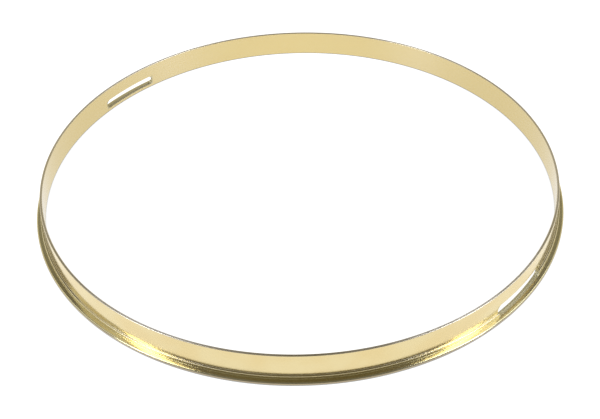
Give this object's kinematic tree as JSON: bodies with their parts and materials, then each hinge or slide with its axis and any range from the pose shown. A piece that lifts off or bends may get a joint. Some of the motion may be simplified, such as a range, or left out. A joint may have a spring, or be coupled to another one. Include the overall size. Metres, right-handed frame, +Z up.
{
  "type": "drum counterhoop",
  "caption": "Slim brass ring: an upright band in a stepped flange ring, with long round-ended gates opposite each other. A snare drum counterhoop, usable as a wreath frame.",
  "frame": {"origin": "middle of the hoop, on the plane that the flange rests on", "axes": "+Z up along the hoop's axis, away from the flange; +X out through the middle of one snare gate, -X through the middle of the other"},
  "size_m": [0.374, 0.374, 0.0199],
  "materials": {
    "band": "satin-polished lacquered brass, drawn lines round the ring",
    "flange": "satin-polished lacquered brass, turned lines round the ring",
    "braze": "dressed braze alloy, slightly paler and rougher than the brass"
  },
  "bodies": {
    "root": {"hoop_band": "band", "flange_ring": "flange", "foot_braze_a": "braze", "foot_braze_b": "braze", "band_joint_filler": "braze", "flange_joint_filler": "braze"}
  },
  "joints": []
}
